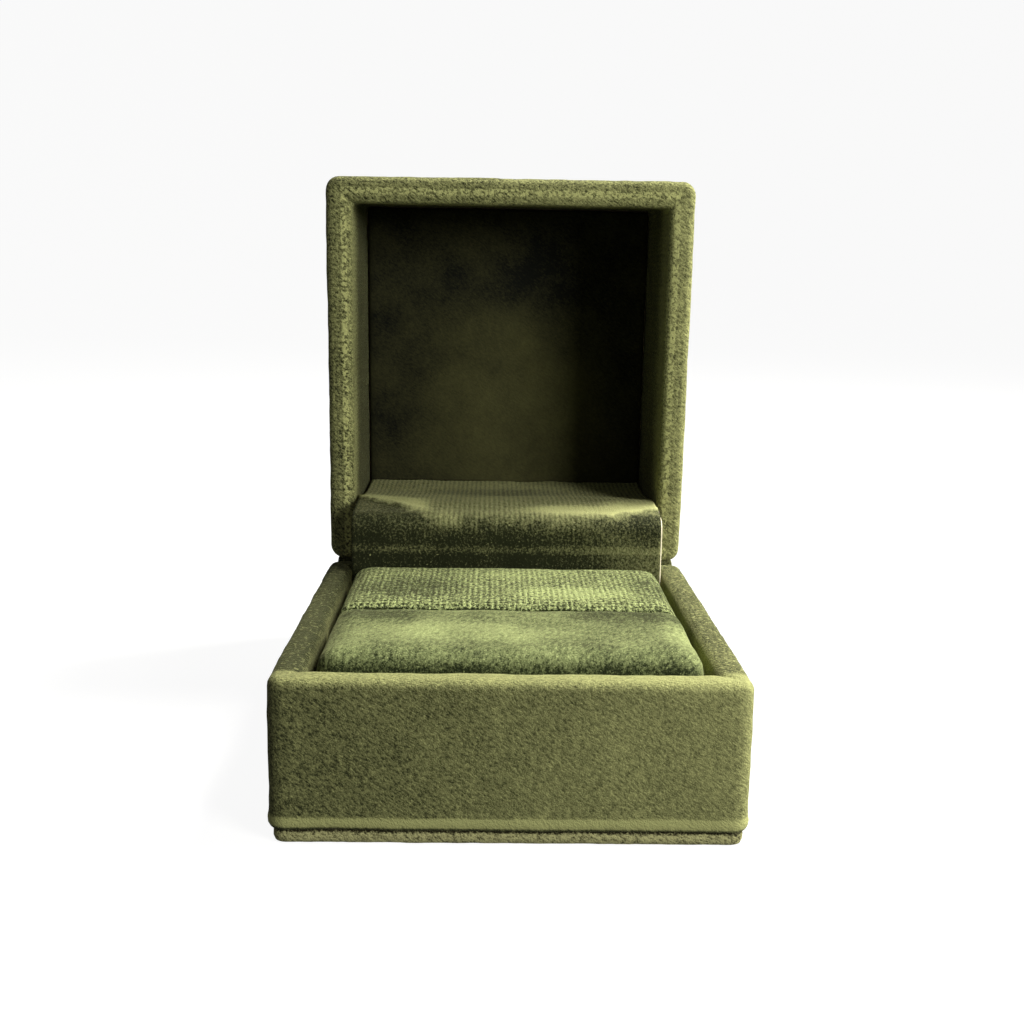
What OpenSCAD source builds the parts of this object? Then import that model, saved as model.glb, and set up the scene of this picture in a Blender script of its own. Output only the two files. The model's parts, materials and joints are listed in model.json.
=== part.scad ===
// Velvet ring box: a square base with a slotted ring pad, a deep lid that opens
// on the velvet across its back, and a snap spring hidden behind a folded flap.
// Millimetres. The origin is the centre of the underside, +X is to the right,
// the front faces -Y and +Z is up. The lid is drawn open, resting on its stop.

/* [Box] */
// Width of the box over its velvet
box_w = 60; // [54:0.5:74]
// Depth of the box over its velvet, front to back
box_d = 63.5; // [58:0.5:78]
// Height of the base from the table to its rim
base_h = 21.5; // [19:0.5:30]
// Height of the lid from its rim to its top
lid_h = 31.2; // [26:0.2:40]
// Angle between the shut lid and the open one
open_angle = 88; // [80:1:94]
// Radius of the upright corners
corner_r = 2.2; // [1.8:0.1:2.8]
// Radius of the edges along the rims and round the lid's top
rim_r = 1.3; // [1:0.1:1.6]
// Radius of the corners inside the box
inner_r = 0.8; // [0.4:0.1:1.5]

/* [Walls] */
// Thickness of the board that the walls and the lid's top are cut from
board_t = 3; // [2.5:0.1:4]
// Thickness of the velvet with its pile
velvet_t = 0.6; // [0.4:0.05:0.75]
// Thickness of the card behind the lid's lining
lining_card_t = 1; // [0.8:0.1:1.6]
// Gap around the lining panel inside the lid
lining_gap = 0.2; // [0.1:0.05:0.4]

/* [Bottom plate] */
// Thickness of the bottom plate over its velvet
foot_h = 2; // [1.8:0.1:3]
// How far the bottom plate stands in from the walls above it
foot_inset = 0.5; // [0.3:0.1:1.5]
// How far the plate's velvet turns in over its upper face
foot_turn_in = 7; // [5:0.5:12]

/* [Ring pad] */
// Gap between the pad and the velvet at its front and sides
pad_gap = 0.8; // [0.4:0.1:1.5]
// Thickness of the pad over its velvet
pad_t = 13.5; // [10:0.5:15]
// How far the pad stands above the rim
pad_rise = 2; // [1:0.25:4]
// Depth of the pad's front half, from the front to the ring slit
front_pad_d = 22.3; // [18:0.1:29]
// Width of the ring slit
slit_w = 0.5; // [0.3:0.1:1]
// Radius of the pad's upper edges
pad_edge_r = 2; // [1.2:0.1:3]
// Radius of the pad's upright corners
pad_corner_r = 2; // [1.2:0.1:3]
// Thickness of the folded card that carries the pad
card_t = 1.2; // [0.8:0.1:1.6]
// How far the card's legs stand in from the pad's sides
leg_inset = 1; // [0.5:0.1:3]

/* [Snap hinge] */
// Gap between the two rims when the lid is shut
rim_gap = 0.3; // [0.2:0.05:0.5]
// Distance of the hinge rods from the back face of the box
rod_inset = 3.2; // [3.1:0.05:4]
// Diameter of the hinge rods
rod_d = 1.2; // [1:0.05:1.5]
// Radial play of the spring's eyes on the rods
eye_play = 0.05; // [0.03:0.01:0.09]
// Width of the spring leaf
spring_w = 12; // [9:0.5:20]
// Thickness of the spring leaf
spring_t = 0.4; // [0.3:0.05:0.5]
// How far the middle of the leaf passes from the lid's axis
spring_reach = 1.4; // [1.35:0.05:1.8]
// Board left behind the pocket that takes the hinge
pocket_floor = 0.6; // [0.5:0.05:0.7]
// Thickness of the brackets' steel
bracket_t = 0.5; // [0.4:0.05:0.6]
// Steel around a rod in a bracket's ears
ear_margin = 0.5; // [0.4:0.05:0.7]
// Diameter of the rivets
rivet_d = 1.2; // [1:0.05:1.4]
// Distance between the two rivets of a bracket
rivet_pitch = 7.2; // [5:0.2:8]
// Clearance of the rods and the rivets in the holes that grip them
hole_fit = 0.02; // [0.01:0.01:0.05]
// Free space around the hinge in its pocket
pocket_gap = 0.5; // [0.3:0.05:1]

/* [Hinge flap] */
// How far the flap stands above the rim
flap_rise = 9.8; // [8:0.1:14]
// Outer radius of the flap's fold
flap_fold_r = 2.6; // [1.5:0.1:4]
// Thickness of the flap's card
flap_card_t = 0.4; // [0.3:0.05:0.6]
// Gap between the flap and what stands beside it
flap_gap = 0.5; // [0.4:0.05:1]
// How deep the flap reaches into the base, from the rim
flap_tuck = 9; // [5:0.5:11]

/* [Back velvet] */
// Thickness of the velvet that joins the lid to the base
spine_t = 0.5; // [0.3:0.05:0.8]
// How far it runs onto the base and onto the lid
spine_leg = 8; // [5:0.5:12]
// How far it stops short of the box's sides
spine_margin = 3.2; // [3:0.1:8]
// Play between it and the lid that it turns with
spine_play = 0.05; // [0.02:0.01:0.1]

/* [Hidden] */
$fn = 48;

// How far a cutter runs past the face that it cuts
past = 1;

velvet = [0.37, 0.38, 0.25];
velvet_lit = [0.55, 0.58, 0.38];
board = [0.66, 0.57, 0.43];
cream = [0.88, 0.85, 0.74];
foam = [0.93, 0.92, 0.88];
steel = [0.72, 0.73, 0.74];

// Walls: board with velvet on both faces
wall_t = board_t + 2 * velvet_t;
inside_w = box_w - 2 * wall_t;
inside_d = box_d - 2 * wall_t;
board_w = box_w - 2 * velvet_t;
board_d = box_d - 2 * velvet_t;

// The lid turns about the back edge, midway between the two rims
hinge_y = box_d / 2;
hinge_z = base_h + rim_gap / 2;
lid_z = base_h + rim_gap;
lid_ceiling_z = lid_z + lid_h - velvet_t - board_t;
lining_z = lid_ceiling_z - lining_card_t - velvet_t;

// The rods lie so that the spring is as long open as shut, and longest midway
rod_drop = rod_inset * tan(90 - open_angle / 4);
rod_r = rod_d / 2;
eye_r = rod_r + eye_play;
ear_r = rod_r + ear_margin;
leaf_offset = eye_r + spring_t / 2;
// The leaf is an arc through both eyes, as wide of the axis as spring_reach
leaf_sag = rod_inset + spring_reach - leaf_offset;
rod_arc_r = (rod_drop * rod_drop + leaf_sag * leaf_sag) / (2 * leaf_sag);
leaf_r = rod_arc_r + leaf_offset;
leaf_centre = rod_arc_r - leaf_sag - rod_inset;

// Bracket plate, rivets and the pocket around them
pocket_inset = velvet_t + pocket_floor;
bracket_w = spring_w + 2 * pocket_gap + 2 * bracket_t;
rod_l = bracket_w + 2 * bracket_t;
rivet_drop = rod_drop + ear_r + rivet_d + pocket_gap;
plate_top = rod_drop - 2 * ear_r;
plate_end = rivet_drop + 1.5 * rivet_d;
pocket_w = rod_l + 2 * pocket_gap;
pocket_depth = plate_end + pocket_gap;
head_r = 0.9 * rivet_d;
head_h = 0.35 * rivet_d;

// The flap stands clear of the spring when the lid is shut, and the pad of the flap
flap_t = flap_card_t + velvet_t;
flap_inset = 2 * rod_inset + spring_reach + spring_t / 2 + flap_gap;
flap_front_y = hinge_y - flap_inset - flap_t;
flap_top_z = base_h + flap_rise;
flap_rear_y = hinge_y + flap_run() - flap_gap;
flap_w = inside_w - 2 * flap_gap;
flap_low_z = base_h - flap_tuck;

// Pad: two halves on one folded card
pad_w = inside_w - 2 * pad_gap;
pad_front_y = -inside_d / 2 + pad_gap;
pad_rear_y = flap_front_y - flap_gap;
pad_d = pad_rear_y - pad_front_y;
rear_pad_d = pad_d - front_pad_d - slit_w;
pad_z = base_h + pad_rise - pad_t;

// Distance from the hinge back to the lid's lining, at the height of the flap's top
function flap_run() =
    (lining_z - hinge_z - (flap_top_z - hinge_z) * cos(open_angle)) / sin(open_angle);

// ---- Shapes that repeat ----

// A rectangle w by d about the origin with corners of radius r
module rounded_plan(w, d, r) {
    square([w, d - 2 * r], center = true);
    square([w - 2 * r, d], center = true);
    for (x = [-1, 1], y = [-1, 1])
        translate([x * (w / 2 - r), y * (d / 2 - r)]) circle(r = r);
}

// A block on z = 0 with upright edges of radius r and its other edges rounded by e.
// With square_foot its lower edges stay sharp.
module rounded_block(w, d, h, r, e, square_foot = false) {
    below = square_foot ? 2 * e : 0;
    intersection() {
        linear_extrude(h) rounded_plan(w, d, r);
        translate([0, 0, (h - below) / 2]) rotate([90, 0, 0])
            linear_extrude(d, center = true) rounded_plan(w, h + below, e);
        translate([0, 0, (h - below) / 2]) rotate([90, 0, 90])
            linear_extrude(w, center = true) rounded_plan(d, h + below, e);
    }
}

// A profile drawn in Y and Z, drawn out along X by w about the middle
module across(w) {
    translate([-w / 2, 0, 0]) rotate([90, 0, 90]) linear_extrude(w) children();
}

// Turns what is drawn on a shut lid to the open one
module lid_swing() {
    translate([0, hinge_y, hinge_z]) rotate([-open_angle, 0, 0])
        translate([0, -hinge_y, -hinge_z]) children();
}

// Mirrors what is drawn on the base to the shut lid
module to_lid() {
    translate([0, 0, 2 * hinge_z]) mirror([0, 0, 1]) children();
}

// Cuts a ring of boards where its front or back board ends: side is -1 or 1
module end_board(side) {
    intersection() {
        children();
        translate([0, side * (board_d - board_t) / 2, 0])
            cube([box_w, board_t, 4 * (base_h + lid_h)], center = true);
    }
}

// Cuts out the board at the left or the right, between the end boards
module side_board(side) {
    intersection() {
        children();
        translate([side * (board_w - board_t) / 2, 0, 0])
            cube([board_t, board_d - 2 * board_t, 4 * (base_h + lid_h)], center = true);
    }
}

// ---- Hinge halves, drawn on the base ----

// The pocket cut into a back wall from its rim and its inner face
module hinge_pocket() {
    translate([-pocket_w / 2, hinge_y - wall_t - past, hinge_z - pocket_depth])
        cube([pocket_w, wall_t + past - pocket_inset, pocket_depth + past]);
}

// Both rivet shanks, with play around them
module rivet_shanks(play) {
    for (x = [-1, 1])
        translate([x * rivet_pitch / 2, hinge_y - velvet_t, hinge_z - rivet_drop])
            rotate([90, 0, 0]) cylinder(h = pocket_floor + bracket_t, r = rivet_d / 2 + play);
}

// Steel plate in the pocket, with an ear at each side that holds the rod
module bracket_half() {
    difference() {
        translate([-bracket_w / 2, hinge_y - pocket_inset - bracket_t, hinge_z - plate_end])
            cube([bracket_w, bracket_t, plate_end - plate_top]);
        rivet_shanks(hole_fit);
    }
    for (x = [-1, 1])
        translate([x * (bracket_w - bracket_t) / 2, 0, 0])
            across(bracket_t) ear_profile();
}

// One ear from the side: a tongue from the plate with a round end around the rod
module ear_profile() {
    difference() {
        union() {
            translate([hinge_y - rod_inset, hinge_z - rod_drop - ear_r])
                square([rod_inset - pocket_inset - bracket_t / 2, 2 * ear_r]);
            translate([hinge_y - rod_inset, hinge_z - rod_drop]) circle(r = ear_r);
        }
        translate([hinge_y - rod_inset, hinge_z - rod_drop]) circle(r = rod_r + hole_fit);
    }
}

// Rivets with low round heads on the plate
module rivets_half() {
    rivet_shanks(0);
    for (x = [-1, 1])
        translate([x * rivet_pitch / 2, hinge_y - pocket_inset - bracket_t, hinge_z - rivet_drop])
            rotate([90, 0, 0]) cylinder(h = head_h, r = head_r);
}

// The rod that the spring's eye turns on
module rod_half() {
    across(rod_l) translate([hinge_y - rod_inset, hinge_z - rod_drop]) circle(r = rod_r);
}

// ---- Base ----

// The ring of four boards before they are cut apart
module base_boards() {
    difference() {
        translate([0, 0, foot_h])
            rounded_block(board_w, board_d, base_h - velvet_t - foot_h,
                corner_r - velvet_t, rim_r - velvet_t, square_foot = true);
        translate([0, 0, base_h / 2])
            cube([board_w - 2 * board_t, board_d - 2 * board_t, 2 * base_h], center = true);
    }
}

module base_front_wall() {
    color(board) end_board(-1) base_boards();
}

module base_rear_wall() {
    color(board) difference() {
        end_board(1) base_boards();
        hinge_pocket();
        rivet_shanks(hole_fit);
    }
}

module base_left_wall() {
    color(board) side_board(-1) base_boards();
}

module base_right_wall() {
    color(board) side_board(1) base_boards();
}

// Velvet over the outside, the rim and the inside of the four walls
module base_cover() {
    color(velvet) difference() {
        translate([0, 0, foot_h])
            rounded_block(box_w, box_d, base_h - foot_h, corner_r, rim_r, square_foot = true);
        base_boards();
        translate([0, 0, foot_h - past])
            linear_extrude(base_h) rounded_plan(inside_w, inside_d, inner_r);
        hinge_pocket();
    }
}

module bottom_board() {
    color(board) translate([0, 0, velvet_t]) linear_extrude(foot_h - 2 * velvet_t)
        foot_plan(foot_inset + velvet_t);
}

// Velvet under the bottom plate and over its edges, turned in and glued above
module bottom_cover() {
    color(velvet) difference() {
        linear_extrude(foot_h) foot_plan(foot_inset);
        translate([0, 0, velvet_t]) linear_extrude(foot_h - 2 * velvet_t)
            foot_plan(foot_inset + velvet_t);
        translate([0, 0, foot_h - velvet_t - past / 4]) linear_extrude(foot_h)
            foot_plan(foot_inset + velvet_t + foot_turn_in);
    }
}

// The bottom plate's outline, set in from the walls; its corners follow the box's
module foot_plan(inset) {
    rounded_plan(box_w - 2 * inset, box_d - 2 * inset, max(corner_r - inset, inner_r));
}

module base_hinge_bracket() {
    color(steel) bracket_half();
}

module base_bracket_rivets() {
    color(steel) rivets_half();
}

module base_hinge_rod() {
    color(steel) rod_half();
}

// ---- Flap over the hinge ----

// A layer of the folded flap: it starts depth below the outer face and is t thick
module flap_layer(depth, t) {
    bend_y = flap_front_y + flap_fold_r;
    bend_z = flap_top_z - flap_fold_r;
    across(flap_w) {
        translate([flap_front_y + depth, flap_low_z]) square([t, bend_z - flap_low_z]);
        translate([bend_y, flap_top_z - depth - t]) square([flap_rear_y - bend_y, t]);
        translate([bend_y, bend_z]) intersection() {
            difference() {
                circle(r = flap_fold_r - depth);
                circle(r = flap_fold_r - depth - t);
            }
            translate([-flap_fold_r, 0]) square(flap_fold_r);
        }
    }
}

module hinge_flap() {
    color(velvet_lit) flap_layer(0, velvet_t);
}

module flap_backing() {
    color(cream) flap_layer(velvet_t, flap_card_t);
}

// Velvet across the back that the lid turns on, folded in the corner when it is open
module back_spine() {
    color(velvet) across(box_w - 2 * spine_margin) translate([hinge_y, hinge_z]) {
        translate([0, -spine_leg]) square([spine_t, spine_leg]);
        rotate(-open_angle) translate([spine_play, 0]) square([spine_t, spine_leg]);
    }
}

// ---- Ring pad ----

// Folded card that the two halves are glued to, standing on the bottom plate
module pad_platform() {
    color(board) translate([0, (pad_front_y + pad_rear_y) / 2, 0]) {
        translate([0, 0, pad_z - card_t]) linear_extrude(card_t)
            rounded_plan(pad_w, pad_d, pad_corner_r);
        translate([0, 0, foot_h]) linear_extrude(pad_z - card_t - foot_h) difference() {
            square([pad_w - 2 * leg_inset, pad_d - 2 * leg_inset], center = true);
            square([pad_w - 2 * (leg_inset + card_t), pad_d - 2 * (leg_inset + card_t)], center = true);
        }
    }
}

// One half of the pad, from y towards the back by d, set in by the velvet for its foam
module pad_half(y, d, inset) {
    translate([0, y + d / 2, pad_z])
        rounded_block(pad_w - 2 * inset, d - 2 * inset, pad_t - inset,
            pad_corner_r - inset, pad_edge_r - inset, square_foot = true);
}

module front_foam() {
    color(foam) pad_half(pad_front_y, front_pad_d, velvet_t);
}

module rear_foam() {
    color(foam) pad_half(pad_rear_y - rear_pad_d, rear_pad_d, velvet_t);
}

module front_pad_cover() {
    color(velvet_lit) difference() {
        pad_half(pad_front_y, front_pad_d, 0);
        pad_half(pad_front_y, front_pad_d, velvet_t);
    }
}

module rear_pad_cover() {
    color(velvet_lit) difference() {
        pad_half(pad_rear_y - rear_pad_d, rear_pad_d, 0);
        pad_half(pad_rear_y - rear_pad_d, rear_pad_d, velvet_t);
    }
}

// ---- Spring ----

// Curved steel leaf with an eye rolled at each end, drawn shut and turned half way
// with the lid about the base's rod
module snap_spring() {
    color(steel) translate([0, hinge_y - rod_inset, hinge_z - rod_drop])
        rotate([-open_angle / 2, 0, 0]) translate([0, 0, rod_drop])
            across(spring_w) leaf_profile();
}

module leaf_profile() {
    half_turn = atan2(rod_drop, rod_arc_r - leaf_sag);
    far = 2 * leaf_r;
    difference() {
        union() {
            translate([rod_arc_r - leaf_sag, 0]) intersection() {
                difference() {
                    circle(r = leaf_r + spring_t / 2, $fn = 96);
                    circle(r = leaf_r - spring_t / 2, $fn = 96);
                }
                polygon([[0, 0], [-far * cos(half_turn), far * sin(half_turn)], [-far, far],
                    [-far, -far], [-far * cos(half_turn), -far * sin(half_turn)]]);
            }
            for (z = [-1, 1]) translate([0, z * rod_drop]) circle(r = eye_r + spring_t);
        }
        for (z = [-1, 1]) translate([0, z * rod_drop]) circle(r = eye_r);
    }
}

// ---- Lid ----

// The box of boards, before the walls and the top are cut apart
module lid_board_block() {
    translate([0, 0, lid_z + velvet_t])
        rounded_block(board_w, board_d, lid_h - 2 * velvet_t, corner_r - velvet_t, rim_r - velvet_t);
}

// Below the top board
module lid_below_top() {
    translate([0, 0, lid_ceiling_z - lid_h])
        cube([2 * box_w, 2 * box_d, 2 * lid_h], center = true);
}

module lid_wall_boards() {
    difference() {
        intersection() {
            lid_board_block();
            lid_below_top();
        }
        translate([0, 0, lid_ceiling_z - lid_h])
            cube([board_w - 2 * board_t, board_d - 2 * board_t, 3 * lid_h], center = true);
    }
}

module lid_front_wall() {
    color(board) lid_swing() end_board(-1) lid_wall_boards();
}

module lid_rear_wall() {
    color(board) lid_swing() difference() {
        end_board(1) lid_wall_boards();
        to_lid() hinge_pocket();
        to_lid() rivet_shanks(hole_fit);
    }
}

module lid_left_wall() {
    color(board) lid_swing() side_board(-1) lid_wall_boards();
}

module lid_right_wall() {
    color(board) lid_swing() side_board(1) lid_wall_boards();
}

module lid_top_board() {
    color(board) lid_swing() difference() {
        lid_board_block();
        lid_below_top();
    }
}

// Velvet over the outside, the rim and the inside of the lid's walls
module lid_cover() {
    color(velvet) lid_swing() difference() {
        translate([0, 0, lid_z]) rounded_block(box_w, box_d, lid_h, corner_r, rim_r);
        lid_wall_boards();
        difference() {
            lid_board_block();
            lid_below_top();
        }
        translate([0, 0, lid_z - past])
            linear_extrude(lid_ceiling_z - lid_z + past) rounded_plan(inside_w, inside_d, inner_r);
        to_lid() hinge_pocket();
    }
}

// A panel inside the lid, set in from its lining, from z up to the top board
module lining_panel(inset, z) {
    translate([0, 0, z]) linear_extrude(lid_ceiling_z - z)
        rounded_plan(inside_w - 2 * (lining_gap + inset), inside_d - 2 * (lining_gap + inset), inner_r);
}

module lid_lining_board() {
    color(cream) lid_swing() lining_panel(velvet_t, lining_z + velvet_t);
}

module lid_lining() {
    color(velvet) lid_swing() difference() {
        lining_panel(0, lining_z);
        lining_panel(velvet_t, lining_z + velvet_t);
    }
}

module lid_hinge_bracket() {
    color(steel) lid_swing() to_lid() bracket_half();
}

module lid_bracket_rivets() {
    color(steel) lid_swing() to_lid() rivets_half();
}

module lid_hinge_rod() {
    color(steel) lid_swing() to_lid() rod_half();
}

bottom_board();
bottom_cover();
base_front_wall();
base_rear_wall();
base_left_wall();
base_right_wall();
base_cover();
base_hinge_bracket();
base_bracket_rivets();
base_hinge_rod();
hinge_flap();
flap_backing();
back_spine();
pad_platform();
front_foam();
rear_foam();
front_pad_cover();
rear_pad_cover();
snap_spring();
lid_front_wall();
lid_rear_wall();
lid_left_wall();
lid_right_wall();
lid_top_board();
lid_cover();
lid_lining_board();
lid_lining();
lid_hinge_bracket();
lid_bracket_rivets();
lid_hinge_rod();
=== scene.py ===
import json
import math

import bmesh
import bpy
from mathutils import Matrix, Vector, noise


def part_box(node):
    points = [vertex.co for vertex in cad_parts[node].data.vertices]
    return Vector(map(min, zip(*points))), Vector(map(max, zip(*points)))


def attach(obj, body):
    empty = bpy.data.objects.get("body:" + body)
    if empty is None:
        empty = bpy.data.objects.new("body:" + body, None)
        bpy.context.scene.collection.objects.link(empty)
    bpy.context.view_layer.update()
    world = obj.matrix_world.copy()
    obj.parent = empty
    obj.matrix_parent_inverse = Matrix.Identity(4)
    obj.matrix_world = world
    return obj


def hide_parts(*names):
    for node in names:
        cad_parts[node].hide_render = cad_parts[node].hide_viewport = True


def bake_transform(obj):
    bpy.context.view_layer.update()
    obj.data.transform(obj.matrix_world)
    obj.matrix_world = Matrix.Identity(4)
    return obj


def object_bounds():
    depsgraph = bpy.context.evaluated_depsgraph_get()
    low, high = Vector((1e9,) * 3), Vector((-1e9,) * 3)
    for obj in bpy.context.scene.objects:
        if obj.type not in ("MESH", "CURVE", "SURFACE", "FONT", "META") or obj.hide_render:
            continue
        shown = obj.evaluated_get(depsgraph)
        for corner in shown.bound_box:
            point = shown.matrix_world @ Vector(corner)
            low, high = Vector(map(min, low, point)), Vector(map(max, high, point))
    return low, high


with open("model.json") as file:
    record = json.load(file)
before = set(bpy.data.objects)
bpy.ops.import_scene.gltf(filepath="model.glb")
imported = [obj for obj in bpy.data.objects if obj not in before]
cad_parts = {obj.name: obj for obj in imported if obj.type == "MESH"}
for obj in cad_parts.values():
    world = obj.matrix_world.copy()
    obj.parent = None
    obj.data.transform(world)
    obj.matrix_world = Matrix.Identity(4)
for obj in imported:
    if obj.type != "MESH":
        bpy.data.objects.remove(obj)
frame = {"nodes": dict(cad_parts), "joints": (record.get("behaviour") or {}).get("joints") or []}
cad_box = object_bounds()
nodes = frame["nodes"]
MM = 0.001

# ---- Camera ----
# It stands close in front of the box and a little higher than the open lid's middle, so that
# the pad, the flap and the inside of the lid all show.
eye = Vector((-3.11, -172.85, 69.76)) * MM
yaw, pitch, roll = (math.radians(a) for a in (1.147, 10.938, 0.928))
ahead = Vector((math.sin(yaw) * math.cos(pitch), math.cos(yaw) * math.cos(pitch), -math.sin(pitch)))
level = Vector((math.cos(yaw), -math.sin(yaw), 0))
over = level.cross(ahead)
right = math.cos(roll) * level + math.sin(roll) * over
up = math.cos(roll) * over - math.sin(roll) * level
lens = bpy.data.cameras.new("camera")
lens.lens, lens.sensor_width = 42.93, 36
lens.clip_start, lens.clip_end = 0.01, 20
camera = bpy.data.objects.new("camera", lens)
camera.matrix_world = Matrix.Translation(eye) @ Matrix((right, up, -ahead)).transposed().to_4x4()
bpy.context.scene.collection.objects.link(camera)
bpy.context.scene.camera = camera


# ---- Light and floor ----
# A white sweep. One soft light hangs above and behind the box, one stands low beside it at the
# right and a weak one near its front, and a little even light comes from all round.
class Value:
    """A shader socket that takes part in arithmetic: each operator adds a Math node."""

    def __init__(self, finish, socket):
        self.finish, self.socket = finish, socket

    def math(self, operation, first, second=0.0):
        return self.finish.add("ShaderNodeMath", {"operation": operation}, [first, second])

    def __add__(self, other):
        return self.math("ADD", self, other)

    def __radd__(self, other):
        return self.math("ADD", other, self)

    def __sub__(self, other):
        return self.math("SUBTRACT", self, other)

    def __rsub__(self, other):
        return self.math("SUBTRACT", other, self)

    def __mul__(self, other):
        return self.math("MULTIPLY", self, other)

    def __rmul__(self, other):
        return self.math("MULTIPLY", other, self)

    def sine(self):
        return self.math("SINE", self)

    def above(self, least):
        return self.math("MAXIMUM", self, least)

    def clamped(self):
        return self.finish.add("ShaderNodeClamp", {}, [self])


class Finish:
    """One material while it is made. add() is the one way that a node gets into it."""

    def __init__(self, name, tree=None):
        if tree is None:
            self.material = bpy.data.materials.new(name)
            self.material.use_nodes = True
            tree = self.material.node_tree
        self.tree = tree
        self.tree.nodes.clear()

    def add(self, kind, settings, sockets, output=0):
        node = self.tree.nodes.new(kind)
        for key, setting in settings.items():
            setattr(node, key, setting)
        for key, value in sockets.items() if isinstance(sockets, dict) else enumerate(sockets):
            if isinstance(value, Value):
                self.tree.links.new(value.socket, node.inputs[key])
            else:
                node.inputs[key].default_value = value
        return Value(self, node.outputs[output]) if node.outputs else None

    def place(self):
        """Where a point of the piece is, in millimetres."""
        at = self.add("ShaderNodeTexCoord", {}, {}, "Object")
        return self.add("ShaderNodeVectorMath", {"operation": "SCALE"}, {0: at, "Scale": 1000})

    def along(self, at):
        """The three coordinates of a point as values."""
        node = self.add("ShaderNodeSeparateXYZ", {}, [at]).socket.node
        return [Value(self, out) for out in node.outputs]

    def grain(self, at, size, detail=2.0, rough=0.5, turn=(0, 0, 0)):
        """Noise from 0 to 1. size is its grain along each axis in millimetres, turned by turn."""
        turned = self.add("ShaderNodeMapping", {"vector_type": "TEXTURE"},
                          {0: at, "Rotation": [math.radians(a) for a in turn], "Scale": size})
        return self.add("ShaderNodeTexNoise", {},
                        {"Vector": turned, "Scale": 1, "Detail": detail, "Roughness": rough})

    def step(self, value, low, high):
        """0 below low, 1 above high and smooth between."""
        return self.add("ShaderNodeMapRange", {"interpolation_type": "SMOOTHSTEP"},
                        [value, low, high, 0, 1])

    def mix(self, share, first, second):
        """A colour between two."""
        first, second = ((*c, 1) if isinstance(c, tuple) else c for c in (first, second))
        return self.add("ShaderNodeMix", {"data_type": "RGBA"}, {0: share, 6: first, 7: second}, 2)

    def surface(self, sockets, height=None, depth=0.1):
        """The shader at the end. height is a bump from 0 to 1 that stands depth millimetres."""
        if height is not None:
            sockets["Normal"] = self.add("ShaderNodeBump", {},
                                         {"Strength": 1, "Distance": depth * MM, "Height": height})
        shader = self.add("ShaderNodeBsdfPrincipled", {}, sockets)
        self.add("ShaderNodeOutputMaterial", {}, [shader])
        return self.material


def dye(red, green, blue):
    """A colour named by its red, green and blue from 0 to 255."""
    return tuple(((c / 255 + 0.055) / 1.055) ** 2.4 for c in (red, green, blue))


def studio_paper():
    paper = Finish("studio_paper")
    shade = paper.grain(paper.place(), (90, 90, 90))
    tone = paper.mix(shade, dye(112, 112, 111), dye(116, 116, 115))
    return paper.surface({"Base Color": tone, "Roughness": 0.9,
                          "Emission Color": (1, 1, 1, 1), "Emission Strength": 0.92})


def softbox(name, place, size, power, tint):
    """A square light that shines on the middle of the box."""
    lamp = bpy.data.lights.new(name, "AREA")
    lamp.size, lamp.energy, lamp.color = size, power, tint
    light = bpy.data.objects.new(name, lamp)
    light.location = place
    light.rotation_euler = (middle - light.location).to_track_quat("-Z", "Y").to_euler()
    bpy.context.scene.collection.objects.link(light)


middle = (cad_box[0] + cad_box[1]) / 2
softbox("light_above", Vector((0.26, 0.12, 0.46)), 0.16, 4.8, (1.0, 0.98, 0.92))
softbox("light_beside", Vector((0.42, 0.02, 0.10)), 0.16, 1.5, (1.0, 0.98, 0.88))
softbox("light_right", Vector((0.22, -0.24, 0.15)), 0.12, 1.05, (1.0, 0.99, 0.95))

room = bpy.data.worlds.new("room")
room.use_nodes = True
bpy.context.scene.world = room
bpy.context.scene.view_settings.view_transform = "Standard"
room_glow = 0.13
air = Finish("room", room.node_tree)
seen = air.add("ShaderNodeLightPath", {}, {}, "Is Camera Ray")
glow = air.add("ShaderNodeBackground", {},
               {"Color": (1, 1, 1, 1), "Strength": room_glow + (1 - room_glow) * seen})
air.add("ShaderNodeOutputWorld", {}, [glow])

floor_reach, sweep_radius = 2, 0.9
floor_gap = 0.02 * MM
bm = bmesh.new()
bmesh.ops.create_grid(bm, x_segments=1, y_segments=1, size=floor_reach)
rear_edge = [e for e in bm.edges if all(v.co.y > 0 for v in e.verts)]
raised = bmesh.ops.extrude_edge_only(bm, edges=rear_edge)["geom"]
bmesh.ops.translate(bm, verts=[v for v in raised if isinstance(v, bmesh.types.BMVert)],
                    vec=(0, 0, floor_reach))
bmesh.ops.bevel(bm, geom=rear_edge, affect="EDGES", offset=sweep_radius, segments=12, profile=0.5,
                material=-1)
bmesh.ops.translate(bm, verts=bm.verts[:], vec=(0, 0, cad_box[0].z - floor_gap))
bmesh.ops.recalc_face_normals(bm, faces=bm.faces[:])
mesh = bpy.data.meshes.new("studio_floor")
bm.to_mesh(mesh)
bm.free()
mesh.materials.append(studio_paper())
mesh.shade_smooth()
floor = bpy.data.objects.new("studio_floor", mesh)
floor.visible_diffuse = floor.visible_glossy = False
bpy.context.scene.collection.objects.link(floor)


# ---- Bottom plate ----
# Grey board cut to the box's plan and set in from its walls. Velvet is glued under it, over
# its edges and a little way in above, before the plate is glued under the four walls.
FOOT_STEP = 0.8 * MM
ROW_PITCH = 0.83  # millimetres from one row of the pile to the next
velvet_leaf = 0.5 * MM
foot_low, foot_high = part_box("bottom_cover")


def dress(name, material):
    """Gives its material to a piece that is kept as the CAD has it."""
    kept = nodes[name].data
    kept.materials.clear()
    kept.materials.append(material)


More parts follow.
